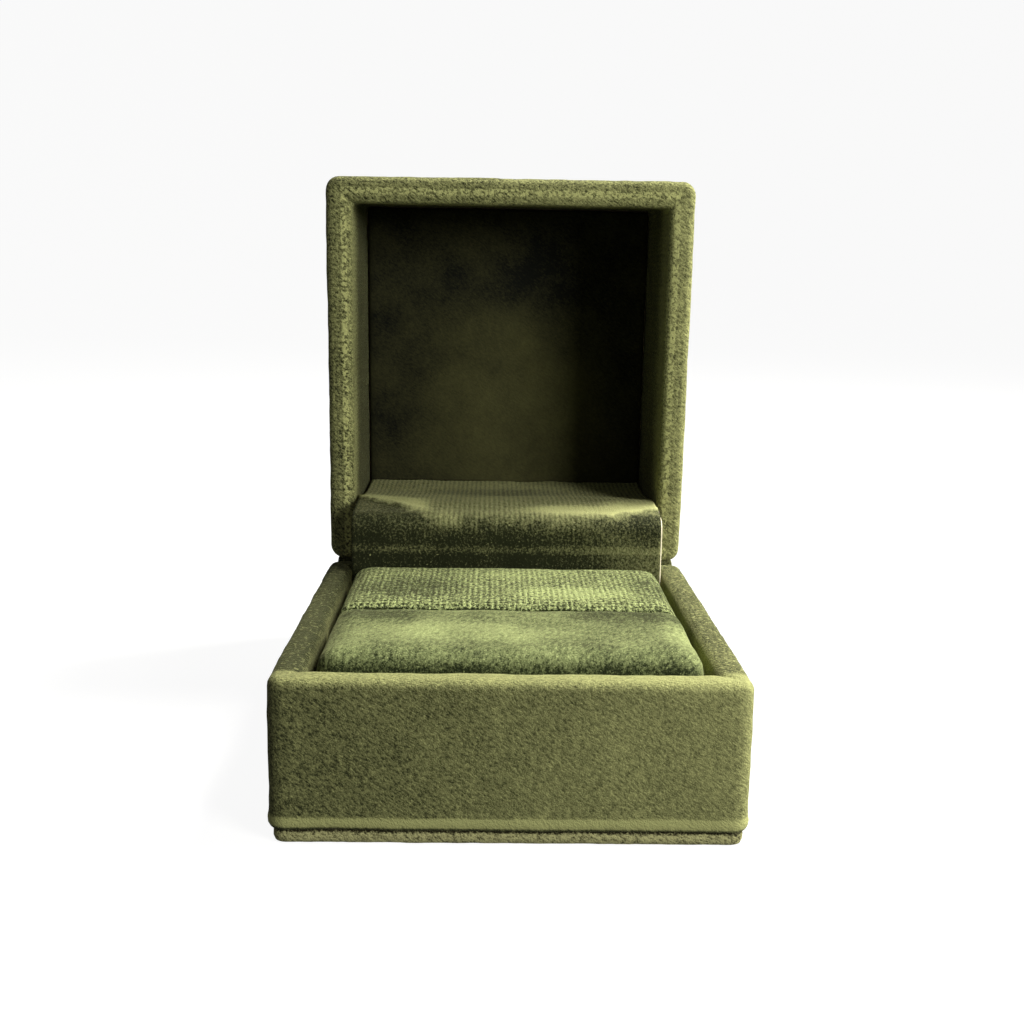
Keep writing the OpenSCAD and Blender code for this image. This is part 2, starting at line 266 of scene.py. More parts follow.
def grey_board():
    """Pressed paper board, as its cut edges show it."""
    board = Finish("grey_board")
    at = board.place()
    fibre = board.grain(at, (0.5, 0.5, 0.12), 4, 0.7)
    cloud = board.grain(at, (6, 6, 4))
    tone = board.mix((0.6 * fibre + 0.5 * cloud).clamped(), dye(120, 106, 84), dye(190, 174, 145))
    return board.surface({"Base Color": tone, "Roughness": 0.85 + 0.1 * cloud}, fibre, 0.08)


def pile_rows(across, wobble, broken):
    """Rows of tufts across one coordinate, about -1 to 1. wobble bends them, and they fade where
    broken is low."""
    return (across * (2 * math.pi / ROW_PITCH) + wobble).sine() * (2.6 * broken - 0.8)


def velvet(name, deep, lit, ribs=(0.0, 0.0, 0.0), marks=None, fleck=(1.0, 0.32, 0.32),
           turn=(0, 32, 25), fleck_share=2.4, cloud_share=0.4, spark_share=0.35, depth=0.3, base=0.42):
    """Cut pile. Its colour goes from deep, where one looks into the pile, to lit, where the pile
    lies over, and base is where it stands between the two. ribs says how much the rows of pile
    show across X, Y and Z. marks gives the places where the pile was brushed, together with
    painted light and shade, as a value that is added to the tone. fleck is the size of a fleck in
    millimetres, turn how it lies, and each share how strong one unevenness is; spark_share is the
    strength of small dots of painted glint. depth is the height of the relief in millimetres."""
    pile = Finish(name)
    at = pile.place()
    long_fleck = pile.grain(at, fleck, 3, 0.6, turn)
    fine = pile.grain(at, (0.2, 0.2, 0.2), 2, 0.6)
    # Small bright dots: painted glints, where single fibres would catch the light.
    fibre_glints = pile.step(pile.grain(at, (0.32, 0.24, 0.24), 1, 0.5, turn), 0.6, 0.74)
    cloud = pile.grain(at, (8, 8, 8), 3, 0.6)
    wobble = 2.6 * pile.grain(at, (2.0, 2.0, 2.0), 2)
    tuft = 0.6 * long_fleck + 0.4 * fine
    relief = tuft
    tone = base + fleck_share * (tuft - 0.5) + cloud_share * (cloud - 0.5) + spark_share * fibre_glints
    for share, across in zip(ribs, pile.along(at)):
        if share:
            row = share * pile_rows(across, wobble, fine)
            tone = tone + 0.3 * row
            relief = relief + 0.25 * row
    if marks:
        tone = tone + marks(pile, at)
    colour = pile.mix(tone.clamped(), deep, lit)
    pile.material.diffuse_color = (*lit, 1)
    return pile.surface({"Base Color": colour, "Roughness": 0.9 - 0.15 * tuft,
                         "Specular IOR Level": 0.12, "Sheen Weight": 0.18,
                         "Sheen Roughness": 0.4, "Sheen Tint": (0.80, 0.80, 0.40, 1)},
                        relief, depth)


def plan_ring(bm, size, radius, step):
    """A closed loop of edges round a box's plan, with a point about every step. Each point keeps
    its share of the way along its side and the direction that it faces, for sweep()."""
    share = bm.verts.layers.float_vector.new("share")
    facing = bm.verts.layers.float_vector.new("facing")
    made = bmesh.ops.create_grid(bm, x_segments=1, y_segments=1, size=0.5,
                                 matrix=Matrix.Diagonal((*size, 1, 1)))
    bmesh.ops.bevel(bm, geom=made["verts"], affect="VERTICES", offset=radius, segments=6,
                    profile=0.5, material=-1)
    bmesh.ops.delete(bm, geom=bm.faces[:], context="FACES_ONLY")
    for edge in [e for e in bm.edges if e.calc_length() > 2 * step]:
        bmesh.ops.subdivide_edges(bm, edges=[edge], cuts=2 * round(edge.calc_length() / step / 2) - 1)
    inner = Vector((size[0] / 2 - radius, size[1] / 2 - radius))
    for v in bm.verts:
        hub = Vector([max(-i, min(i, c)) for i, c in zip(inner, v.co)])
        v[share] = (hub.x / inner.x, hub.y / inner.y, 0)
        v[facing] = (*(v.co.xy - hub).normalized(), 0)
    return bm.edges[:]


def sweep(bm, loop, size, radius, inner_radius, path):
    """Draws walls from a loop: each point of path is how far in from size a ring lies and its
    height. A corner's radius shrinks with that inset, down to inner_radius."""
    share, facing = (bm.verts.layers.float_vector[n] for n in ("share", "facing"))
    for number, (inset, height) in enumerate(path):
        if number:
            made = bmesh.ops.extrude_edge_only(bm, edges=loop)["geom"]
            fresh = {v for v in made if isinstance(v, bmesh.types.BMVert)}
            loop = [e for e in made if isinstance(e, bmesh.types.BMEdge) and set(e.verts) <= fresh]
        round_by = max(inner_radius, radius - inset)
        for v in {v for e in loop for v in e.verts}:
            v.co = [v[share][k] * (size[k] / 2 - inset - round_by) + v[facing][k] * round_by
                    for k in (0, 1)] + [height]
    return loop


def rounded_path(corners, step):
    """Points about every step along straight runs, each corner (across, height, radius) an arc."""
    points = [Vector(corners[0][:2])]

    def straight(to):
        way = to - points[-1]
        count = max(1, round(way.length / step))
        start = points[-1]
        points.extend(start + way * k / count for k in range(1, count + 1))

    for before, (x, z, radius), after in zip(corners, corners[1:], corners[2:]):
        corner = Vector((x, z))
        into, out = (corner - Vector(before[:2])).normalized(), (Vector(after[:2]) - corner).normalized()
        turn = into.angle_signed(out)
        reach = radius * math.tan(abs(turn) / 2)
        straight(corner - into * reach)
        hub = points[-1] + math.copysign(radius, turn) * Vector((into.y, -into.x))
        count = max(2, round(radius * abs(turn) / step * 1.6))
        start = points[-1] - hub
        points.extend(hub + Matrix.Rotation(-turn * k / count, 2) @ start for k in range(1, count + 1))
    straight(Vector(corners[-1][:2]))
    return points


def fill_panel(bm, loop):
    """Closes a flat loop and cuts the face into a grid through the points of its straight sides."""
    facing = bm.verts.layers.float_vector["facing"]
    verts = {v for e in loop for v in e.verts}
    lines = [sorted({round(v.co[k], 7) for v in verts if abs(v[facing][1 - k]) > 0.999}) for k in (0, 1)]
    faces = bmesh.ops.contextual_create(bm, geom=loop + list(verts))["faces"]
    for axis, places in zip(((1, 0, 0), (0, 1, 0)), lines):
        for place in places:
            part = list({g for f in faces for g in (*f.verts, *f.edges)}) + faces
            cut = bmesh.ops.bisect_plane(bm, geom=part, plane_co=Vector(axis) * place, plane_no=axis,
                                         dist=1e-6)
            faces = [g for g in cut["geom"] if isinstance(g, bmesh.types.BMFace)]


def soften(bm, waves):
    """The small unevenness of glued cloth. waves is pairs of height and length."""
    bm.normal_update()
    moves = [v.normal * sum(h * noise.noise(v.co / w) for h, w in waves) for v in bm.verts]
    for v, move in zip(bm.verts, moves):
        v.co += move


def piece_of(name, bm, material, thickness=None):
    """The finished piece as an object. thickness gives an open sheet its back."""
    mesh = bpy.data.meshes.new(name)
    bm.to_mesh(mesh)
    bm.free()
    mesh.materials.append(material)
    mesh.shade_smooth()
    piece = bpy.data.objects.new(name, mesh)
    bpy.context.scene.collection.objects.link(piece)
    if thickness:
        leaf = piece.modifiers.new("leaf", "SOLIDIFY")
        leaf.thickness, leaf.offset = thickness, -1
    return piece


board_finish = grey_board()
dress("bottom_board", board_finish)

foot_size = (foot_high - foot_low).xy
foot_corner, foot_inner_corner = 1.7 * MM, 0.8 * MM
turned_in_above, turned_in_below = 7 * MM, 2 * MM
bm = bmesh.new()
loop = plan_ring(bm, foot_size, foot_corner, FOOT_STEP)
foot_path = rounded_path([
    (turned_in_above, foot_high.z, 0), (0, foot_high.z, 0.6 * MM), (0, foot_low.z, 0.7 * MM),
    (turned_in_below, foot_low.z, 0)], FOOT_STEP)
loop = sweep(bm, loop, foot_size, foot_corner, foot_inner_corner, foot_path)
fill_panel(bm, loop)
bmesh.ops.recalc_face_normals(bm, faces=bm.faces[:])
soften(bm, [(0.06 * MM, 3 * MM), (0.05 * MM, 1.1 * MM)])
for v in bm.verts:
    v.co.z = max(v.co.z, foot_low.z)


def foot_painted_shade(pile, at):
    """The top edge, which lies in the groove under the walls, is painted dark as shade; the rest is a
    little lighter.
    """
    below_top = foot_high.z / MM - pile.along(at)[2] - 0.5 * pile.grain(at, (3, 3, 3)) + 0.25
    edge_shade = 1 - pile.step(below_top, 0.2, 0.6)
    return 0.28 - 0.8 * edge_shade


foot_velvet = velvet("velvet_foot", dye(46, 44, 26), dye(176, 174, 122), marks=foot_painted_shade,
                     fleck_share=4.5)
bottom_velvet = piece_of("bottom_velvet", bm, foot_velvet, velvet_leaf)
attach(bottom_velvet, "base")
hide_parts("bottom_cover")


# ---- Base walls ----
# Four lengths of the same board, butted at the corners, with the hinge's pocket milled into the
# rear one. One strip of velvet is wrapped round them and turned over the rim and down inside,
# and its two ends meet at the middle of the back.
for wall in ("front", "rear", "left", "right"):
    dress(f"base_{wall}_wall", board_finish)

WRAP_STEP = 0.66 * MM
corner_r, inner_r, rim_r = 2.2 * MM, 0.8 * MM, 1.3 * MM
under_foot, foot_edge_r = 0.6 * MM, 0.5 * MM
foot_swell = 0.14 * MM
tuck_length, tuck_depth = 4 * MM, 0.35 * MM
seam_depth = 0.28 * MM
pocket_play = 0.5 * MM
opening_inset = 1.2 * MM
WRAP_UNEVEN = [(0.10 * MM, 7 * MM), (0.07 * MM, 1.6 * MM)]
wrap_low, wrap_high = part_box("base_cover")
wrap_size = (wrap_high - wrap_low).xy
left_board_low, left_board_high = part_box("base_left_wall")
velvet_t = left_board_low.x - wrap_low.x
wall_t = left_board_high.x - left_board_low.x + 2 * velvet_t
pocket_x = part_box("base_hinge_rod")[1].x + pocket_play


def wall_path(bottom, rim):
    """From under the wall's foot, up outside, over the rim and down inside. The cloth swells a
    little just above the foot."""
    path = rounded_path([
        (under_foot, bottom, 0), (0, bottom, foot_edge_r), (0, rim, rim_r),
        (wall_t, rim, rim_r), (wall_t, bottom, 0)], WRAP_STEP)
    for p in path:
        if p.x < wall_t / 2:
            p.x -= foot_swell * math.exp(-(((p.y - bottom - 1.0 * MM) / (0.55 * MM)) ** 2))
    return path


def pinch_seam(bm, face_y):
    """Presses in the line where the two ends of the wrap meet, at the middle of the back."""
    for v in bm.verts:
        if abs(v.co.y - face_y) < velvet_leaf:
            v.co.y -= seam_depth * math.exp(-((v.co.x / (0.7 * MM)) ** 2))


def clear_pocket(bm, floor_z, back_y, side):
    """Leaves the wrap out where the hinge's pocket opens. side is 1 above floor_z, -1 below."""
    near_y, open_y = back_y - 8 * MM, back_y - 6 * MM
    for place, axis in (((pocket_x, 0, 0), (1, 0, 0)), ((-pocket_x, 0, 0), (1, 0, 0)),
                        ((0, 0, floor_z), (0, 0, 1)), ((0, back_y, 0), (0, 1, 0))):
        near = [f for f in bm.faces if f.calc_center_median().y > near_y]
        part = list({g for f in near for g in (*f.verts, *f.edges)}) + near
        bmesh.ops.bisect_plane(bm, geom=part, plane_co=place, plane_no=axis, dist=1e-6)
    hole = []
    for f in bm.faces:
        c = f.calc_center_median()
        if abs(c.x) < pocket_x and open_y < c.y < back_y and side * (c.z - floor_z) > 0:
            hole.append(f)
    bmesh.ops.delete(bm, geom=hole, context="FACES")


def tuck_corners(bm, rim, side):
    """Presses in the slanting folds where the cloth is tucked at the rim's four inner corners.
    side is 1 where the rim faces up, -1 where it faces down."""
    for v in bm.verts:
        out = Vector((abs(v.co.x) - wrap_size.x / 2 + wall_t, abs(v.co.y) - wrap_size.y / 2 + wall_t))
        beside, along = (out.x - out.y) / math.sqrt(2), (out.x + out.y) / math.sqrt(2)
        if abs(v.co.z - rim) < 2.5 * MM and -1 * MM < along < tuck_length:
            fold = math.exp(-((beside / (0.45 * MM)) ** 2)) * (1 - along / tuck_length)
            v.co.z -= side * tuck_depth * fold


bm = bmesh.new()
loop = plan_ring(bm, wrap_size, corner_r, WRAP_STEP)
sweep(bm, loop, wrap_size, corner_r, inner_r, wall_path(wrap_low.z, wrap_high.z))
bmesh.ops.recalc_face_normals(bm, faces=bm.faces[:])
soften(bm, WRAP_UNEVEN)
tuck_corners(bm, wrap_high.z, 1)
pinch_seam(bm, wrap_high.y)
pocket_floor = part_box("base_hinge_bracket")[0].z - pocket_play
clear_pocket(bm, pocket_floor, wrap_high.y - opening_inset, 1)


def base_painted_light(pile, at):
    """All painted light and shade: a painted highlight along the front rim, painted shade with
    painted glints on the side rims, darker again on the left, a painted highlight on the swell
    just above the foot over a painted dark groove, and the whole a little lighter towards the
    right, where the light comes from."""
    x, y, z = pile.along(at)
    from_front = y - wrap_low.y / MM
    from_rim, from_foot = z - wrap_high.z / MM, z - wrap_low.z / MM
    tuft = pile.grain(at, (0.5, 0.4, 0.4), 1)
    glint = pile.step(tuft, 0.56, 0.64)
    front = (1 - pile.step(from_front, 3.15, 4.75)) * pile.step(from_rim + 1.6 * tuft, -0.6, 1.0)
    side_rim_shade = (pile.step(x * x, 25.4 ** 2, 27 ** 2) * pile.step(from_rim, -1.7, -0.3)
             * pile.step(from_front, 3.25, 5.25))
    left = (1 - pile.step(x, -1, 1)) * side_rim_shade
    bulge_highlight = pile.step(from_foot, 0.4, 0.7) * (1 - pile.step(from_foot, 1.4, 2.0))
    groove_shade = 1 - pile.step(from_foot, 0.25, 0.45)
    return (0.3 * front + side_rim_shade * (0.55 * glint - 0.5) + left * (0.3 * glint - 0.3)
            + 0.9 * bulge_highlight - 0.4 * groove_shade + 0.006 * x)


base_finish = velvet("velvet_base", dye(46, 49, 27), dye(160, 162, 106), marks=base_painted_light)
base_velvet = piece_of("base_velvet", bm, base_finish, velvet_leaf)
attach(base_velvet, "base")
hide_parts("base_cover")


# ---- Snap hinge ----
# Two pressed steel brackets riveted into the pockets, a rod through the ears of each, and a
# curved leaf of spring steel with an eye rolled round each rod.
def drawn_steel(name, tone, lay, rough):
    """Steel with fine marks along lay, as it left the roll."""
    steel = Finish(name)
    at = steel.place()
    line = steel.grain(at, lay, 3, 0.7)
    stain = steel.grain(at, (2.5, 2.5, 2.5), 3)
    colour = steel.mix((0.7 * line + 0.5 * stain - 0.1).clamped(),
                       tuple(0.6 * c for c in tone), tone)
    return steel.surface({"Base Color": colour, "Metallic": 1,
                          "Roughness": rough + 0.2 * (line - 0.5)}, line, 0.012)


plate_steel = drawn_steel("plate_steel", dye(214, 212, 204), (3, 0.08, 0.08), 0.4)
wire_steel = drawn_steel("wire_steel", dye(224, 223, 218), (2.5, 0.06, 0.06), 0.28)
spring_steel = drawn_steel("spring_steel", dye(190, 196, 204), (0.08, 2, 2), 0.3)
for name, finish in (("hinge_bracket", plate_steel), ("bracket_rivets", wire_steel),
                     ("hinge_rod", wire_steel)):
    for shell in ("base", "lid"):
        dress(f"{shell}_{name}", finish)
dress("snap_spring", spring_steel)


# ---- Ring pad ----
# Two blocks of foam, each under its own velvet that is turned down and glued below, side by side
# on a folded card. The ring stands in the slit between them.
def card_finish(name, deep, lit):
    """Smooth card with a little fibre in it."""
    card = Finish(name)
    at = card.place()
    fibre = card.grain(at, (1.6, 0.25, 0.25), 3, 0.6, (0, 0, 20))
    cloud = card.grain(at, (7, 7, 7))
    tone = card.mix((0.6 * fibre + 0.4 * cloud).clamped(), deep, lit)
    return card.surface({"Base Color": tone, "Roughness": 0.7 + 0.15 * cloud}, fibre, 0.02)


def open_foam():
    """White foam with its open cells, each painted darker at its middle as the shade in its pit."""
    foam = Finish("open_foam")
    at = foam.place()
    cell = foam.add("ShaderNodeTexVoronoi", {"feature": "F1"}, {"Vector": at, "Scale": 2.2})
    cloud = foam.grain(at, (5, 5, 5))
    wall = foam.step(cell, 0.15, 0.6)
    tone = foam.mix(wall, dye(196, 190, 168), dye(244, 240, 226))
    return foam.surface({"Base Color": tone, "Roughness": 0.85 + 0.1 * cloud}, wall, 0.15)


dress("pad_platform", card_finish("grey_card", dye(150, 140, 120), dye(196, 186, 162)))

SWELL_SCALE = 20
SWELL_CAP = 0.2 * MM
SWELL_FRAMES = 20
PAD_GRID = 0.75 * MM
swell_room = Vector((0.9, 0.7, 0.5)) * MM
pad_roll, slit_roll = 2.4 * MM, 0.8 * MM
glued_band = 1.5 * MM


def apply_modifiers(thing):
    """Makes the evaluated mesh the object's own."""
    shown = thing.evaluated_get(bpy.context.evaluated_depsgraph_get())
    mesh = bpy.data.meshes.new_from_object(shown)
    thing.modifiers.clear()
    thing.data = mesh


def swell(block):
    """Blows the velvet up a little from inside, with the part below it glued, and never moves a
    point further than about SWELL_CAP."""
    before = [v.co.copy() for v in block.data.vertices]
    floor_z = min(p.z for p in before)
    glued = block.vertex_groups.new(name="glued")
    glued.add([k for k, p in enumerate(before) if p.z < floor_z + glued_band * SWELL_SCALE], 1, "ADD")
    cloth = block.modifiers.new("velvet", "CLOTH")
    cloth.settings.use_pressure = True
    cloth.settings.uniform_pressure_force = 4
    cloth.settings.vertex_group_mass = "glued"
    cloth.settings.effector_weights.gravity = 0
    for number in range(1, SWELL_FRAMES + 1):
        bpy.context.scene.frame_set(number)
    apply_modifiers(block)
    bpy.context.scene.frame_set(1)
    cap = SWELL_CAP * SWELL_SCALE
    for v, start in zip(block.data.vertices, before):
        way = v.co - start
        if way.length > 1e-9:
            v.co = start + way * (cap * math.tanh(way.length / cap) / way.length)


def stuffed_block(name, low, high, slit_side):
    """A block of foam under tight velvet: pressed from inside, glued flat below. slit_side is 1
    if the ring slit is at its back and -1 if it is at its front. The cloth is worked out
    at SWELL_SCALE times its size, because the solver is made for garments."""
    size = high - low
    start = size - swell_room
    bm = bmesh.new()
    bmesh.ops.create_cube(bm, size=1, matrix=Matrix.Diagonal((*start, 1)))
    slit = [e for e in bm.edges
            if all(v.co.z > 0 and v.co.y * slit_side > 0 for v in e.verts)]
    upright = [e for e in bm.edges if abs(e.verts[0].co.z - e.verts[1].co.z) > start.z / 2]
    outer = [e for e in upright if e.verts[0].co.y * slit_side < 0]
    upper = [e for e in bm.edges if e not in slit and all(v.co.z > 0 for v in e.verts)]
    bmesh.ops.bevel(bm, geom=upper + outer, affect="EDGES", offset=pad_roll, segments=5, profile=0.5,
                    material=-1, clamp_overlap=True)
    top = max(v.co.z for v in bm.verts)
    back = max(v.co.y * slit_side for v in bm.verts)
    slit = [e for e in bm.edges
            if all(v.co.z > top - 1e-6 and v.co.y * slit_side > back - 1e-6 for v in e.verts)]
    bmesh.ops.bevel(bm, geom=slit, affect="EDGES", offset=slit_roll, segments=3, profile=0.5,
                    material=-1)
    bmesh.ops.scale(bm, verts=bm.verts[:], vec=(SWELL_SCALE,) * 3)
    mesh = bpy.data.meshes.new(name)
    bm.to_mesh(mesh)
    bm.free()
    block = bpy.data.objects.new(name, mesh)
    bpy.context.scene.collection.objects.link(block)
    remesh = block.modifiers.new("even_grid", "REMESH")
    remesh.mode, remesh.voxel_size = "VOXEL", PAD_GRID * SWELL_SCALE
    apply_modifiers(block)
    swell(block)
    bm = bmesh.new()
    bm.from_mesh(block.data)
    bpy.data.objects.remove(block)
    for _ in range(3):
        bmesh.ops.smooth_vert(bm, verts=bm.verts[:], factor=0.5, use_axis_x=True, use_axis_y=True,
                              use_axis_z=True)
    made_low = Vector([min(v.co[k] for v in bm.verts) for k in range(3)])
    made_high = Vector([max(v.co[k] for v in bm.verts) for k in range(3)])
    for v in bm.verts:
        v.co = [low[k] + (v.co[k] - made_low[k]) * size[k] / (made_high[k] - made_low[k])
                for k in range(3)]
    return bm


def oval(pile, at, centre, radii):
    """1 at the middle of a soft oval patch, 0 outside it. It has no end along an axis of radius 0."""
    offset = pile.add("ShaderNodeVectorMath", {"operation": "SUBTRACT"}, [at, centre])
    scale = [1 / r if r else 0 for r in radii]
    span = pile.add("ShaderNodeVectorMath", {"operation": "MULTIPLY"}, [offset, scale])
    away = pile.add("ShaderNodeVectorMath", {"operation": "LENGTH"}, [span], "Value")
    return 1 - pile.step(away, 0.25, 1)


def front_pad_nap_and_painted_light(pile, at):
    """Brushed light in the middle and dark where fingers pushed the pile back. The light at the
    right slope is a painted highlight where the light from the right falls, the dark on the roll
    at the front is painted shade, and the light along the slit is a painted highlight on its
    rounded edge."""
    light = oval(pile, at, (-6, -17, 23), (18, 7, 9)) + 0.9 * oval(pile, at, (24, -18, 23), (5, 12, 9))
    dark = oval(pile, at, (-17, -8, 23), (9, 5, 9)) + oval(pile, at, (17, -9, 23), (11, 6, 9))
    roll = oval(pile, at, (0, -27.5, 20), (0, 2.6, 5))
    slit_edge = pile.step(pile.along(at)[1], -6.0, -5.4)
    return 0.25 * light - 0.25 * dark - 0.3 * roll + 0.35 * slit_edge


def rear_pad_nap_and_painted_shade(pile, at):
    """A bright swathe across the right half and darker at the left, with painted shade along the slit."""
    light = oval(pile, at, (10, 3, 23), (13, 6, 9)) + 0.6 * oval(pile, at, (2, 15, 23), (12, 6, 9))
    dark = oval(pile, at, (-14, 6, 23), (11, 9, 9)) + 0.7 * oval(pile, at, (22, 8, 23), (5, 9, 9))
    slit_edge = 1 - pile.step(pile.along(at)[1], -3.5, -3.1)
    return 0.5 * light - 0.4 * dark - slit_edge


pad_colours = dye(34, 41, 19), dye(170, 181, 120)
pad_finish = {
    "front": velvet("velvet_front_pad", *pad_colours, (0.15, 0, 0), front_pad_nap_and_painted_light,
                    turn=(0, 0, 65), fleck=(1.0, 0.5, 0.5), fleck_share=1.8, cloud_share=0.7,
                    depth=0.25, base=0.25),
    "rear": velvet("velvet_rear_pad", *pad_colours, (0.9, 0.8, 0), rear_pad_nap_and_painted_shade,
                   turn=(0, 0, 0), fleck=(0.4, 0.5, 0.4), fleck_share=6.5, depth=0.5, base=0.38),
}
foam_finish = open_foam()
foam_depth = 0.62 * MM  # past the cover's own thickness, so that the two never meet
for half, slit_side in (("front", 1), ("rear", -1)):
    low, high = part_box(f"{half}_pad_cover")
    bm = stuffed_block(f"{half}_block", low, high, slit_side)
    foam = bm.copy()
    foam.normal_update()
    for v, move in [(v, -v.normal * foam_depth) for v in foam.verts]:
        v.co += move
    foam_piece = piece_of(f"{half}_pad_foam", foam, foam_finish)
    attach(foam_piece, "ring_insert")
    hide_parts(f"{half}_foam")

    below = [f for f in bm.faces if f.calc_center_median().z < low.z + 0.1 * velvet_leaf]
    bmesh.ops.delete(bm, geom=below, context="FACES")
    bmesh.ops.subdivide_edges(bm, edges=bm.edges[:], cuts=1, smooth=0.6, use_grid_fill=True)
    soften(bm, [(0.16 * MM, 6 * MM), (0.05 * MM, 1.6 * MM)])
    cover = piece_of(f"{half}_pad_velvet", bm, pad_finish[half], velvet_leaf)
    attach(cover, "ring_insert")
    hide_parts(f"{half}_pad_cover")


# ---- Lid ----
# The same board as the base, with a top set into four walls. One cut of velvet goes over the top
# and the walls, round the rims and up inside. It is drawn shut here, then swung open.
for board in ("front_wall", "rear_wall", "left_wall", "right_wall", "top_board"):
    dress(f"lid_{board}", board_finish)

hinge = next(j for j in frame["joints"] if j["name"] == "lid_hinge")
pivot = Vector(hinge["pos_m"])
opened = math.radians(hinge["range_deg"][1])
swing = Matrix.Translation(pivot) @ Matrix.Rotation(-opened, 4, "X") @ Matrix.Translation(-pivot)
shut = swing.inverted()


def shut_box(name):
    """Lowest and highest corner of one of the lid's nodes, with the lid shut."""
    points = [shut @ v.co for v in nodes[name].data.vertices]
    return (Vector([min(p[k] for p in points) for k in range(3)]),
            Vector([max(p[k] for p in points) for k in range(3)]))


lid_low, lid_high = shut_box("lid_cover")
panel_low, panel_high = shut_box("lid_lining")
LID_STEP = 0.72 * MM
ceiling = panel_high.z + 1.0 * MM


def lid_painted_light(pile, at):
    """Deep inside the open lid the velvet is painted darker as shade. A painted highlight runs
    along the top of the front rim, painted glints dot the inner edge of the rims, and the whole is
    a little lighter towards the right, where the light comes from."""
    x, y, z = pile.along(at)
    below_top = 1 - pile.step(y, 59.5, 61)
    hollow_shade = (below_top * pile.step(y, 33, 44) * (1 - pile.step(x * x, 25.9 ** 2, 26.6 ** 2))
              * (1 - pile.step((z - 53.5) * (z - 53.5), 28.5 ** 2, 29.5 ** 2)))
    edge = pile.step(z, 85.2, 86.0) * (1 - pile.step(y, 33.5, 36))
    beside = pile.step(x * x, 26.4 ** 2, 26.8 ** 2) * (1 - pile.step(x * x, 27.3 ** 2, 27.7 ** 2))
    under = pile.step(z, 82.2, 82.6) * (1 - pile.step(z, 83.2, 83.6))
    seam = beside * (1 - pile.step(z, 83.2, 83.5)) + under * (1 - pile.step(x * x, 26.7 ** 2, 27 ** 2))
    rim_glints = below_top * seam * pile.step(pile.grain(at, (0.55, 0.55, 0.55), 1), 0.46, 0.56)
    return 0.5 * edge - 0.5 * hollow_shade + 0.7 * rim_glints + 0.003 * x


bm = bmesh.new()
lid_path = rounded_path([
    (wall_t, ceiling, 0), (wall_t, lid_low.z, rim_r), (0, lid_low.z, rim_r),
    (0, lid_high.z, rim_r), (corner_r, lid_high.z, 0)], LID_STEP)
loop = plan_ring(bm, wrap_size, corner_r, LID_STEP)
loop = sweep(bm, loop, wrap_size, corner_r, inner_r, lid_path)
fill_panel(bm, loop)
bmesh.ops.recalc_face_normals(bm, faces=bm.faces[:])
soften(bm, WRAP_UNEVEN)
tuck_corners(bm, lid_low.z, -1)
pinch_seam(bm, lid_high.y)
pocket_top = shut_box("lid_hinge_bracket")[1].z + pocket_play
clear_pocket(bm, pocket_top, lid_high.y - opening_inset, -1)
bmesh.ops.transform(bm, matrix=swing, verts=bm.verts[:])
lid_finish = velvet("velvet_lid", dye(38, 40, 22), dye(172, 174, 114), (0.2, 0, 0.3), lid_painted_light,
                    fleck_share=3.0)
lid_velvet = piece_of("lid_velvet", bm, lid_finish, velvet_leaf)
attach(lid_velvet, "lid")
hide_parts("lid_cover")


# ---- Lid lining ----
# A panel of cream card under velvet, pushed up inside the lid against its top.
cream_card = card_finish("cream_card", dye(206, 194, 160), dye(240, 232, 206))
dress("lid_lining_board", cream_card)


def lining_painted_light(pile, at):
    """Painted light low in the middle, and painted shade high up at the right, under the lid's top."""
    light = oval(pile, at, (2, 57, 42), (26, 0, 30))
    dark = oval(pile, at, (8, 57, 70), (12, 0, 10))
    return 0.5 * light - 0.2 * dark


panel_size = (panel_high - panel_low).xy
bm = bmesh.new()
loop = plan_ring(bm, panel_size, inner_r, LID_STEP)
loop = sweep(bm, loop, panel_size, inner_r, 0.4 * MM, rounded_path([
    (0, panel_high.z, 0), (0, panel_low.z, 0.6 * MM), (1.4 * MM, panel_low.z, 0)], LID_STEP))
fill_panel(bm, loop)
bmesh.ops.recalc_face_normals(bm, faces=bm.faces[:])
soften(bm, [(0.12 * MM, 9 * MM), (0.05 * MM, 1.6 * MM)])
bmesh.ops.transform(bm, matrix=swing, verts=bm.verts[:])
# The lining's colours are a much darker copy of the box's velvet, painted as the shade inside the lid.
lining_finish = velvet("velvet_lining", dye(11, 13, 7), dye(76, 75, 43), marks=lining_painted_light,
                       base=0.2, cloud_share=0.8, fleck_share=1.0, spark_share=0.06, depth=0.12)
lining_velvet = piece_of("lining_velvet", bm, lining_finish, velvet_leaf)
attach(lining_velvet, "lid")
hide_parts("lid_lining")


# ---- Hinge flap ----
# Velvet on thin cream card, folded once: it stands behind the pad and runs back into the lid, so
# that it hides the hinge. Its card shows as a pale line at the cut edge.
flap_low, flap_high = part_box("hinge_flap")
FLAP_STEP = 0.5 * MM
fold_r = 2.6 * MM
card_t = 0.4 * MM
card_depth, card_aside = 0.56 * MM, 0.22 * MM
ridge_height, ridge_width = 0.3 * MM, 1.3 * MM
crown_height, crown_start, crown_length = 0.75 * MM, 23 * MM, 20 * MM
sag_depth, sag_start, sag_length = 0.4 * MM, 40 * MM, 17 * MM
# The crease, in millimetres: where it runs, and from which x it leans back at each end and by
# how much for each millimetre
CREASE_Y = 23.4
CREASE_LEFT, LEFT_LEAN = -11, 0.8
CREASE_RIGHT, RIGHT_LEAN = 14, 0.38


def turn_outward(bm, side):
    """Makes the faces of an open sheet look towards side."""
    bmesh.ops.recalc_face_normals(bm, faces=bm.faces[:])
    bm.normal_update()
    if sum(f.normal.dot(side) for f in bm.faces) < 0:
        bmesh.ops.reverse_faces(bm, faces=bm.faces[:])


def hump(y, start, length):
    """A half wave over y, from 0 at start through 1 to 0 again."""
    return math.sin(math.pi * min(1, max(0, (y - start) / length)))


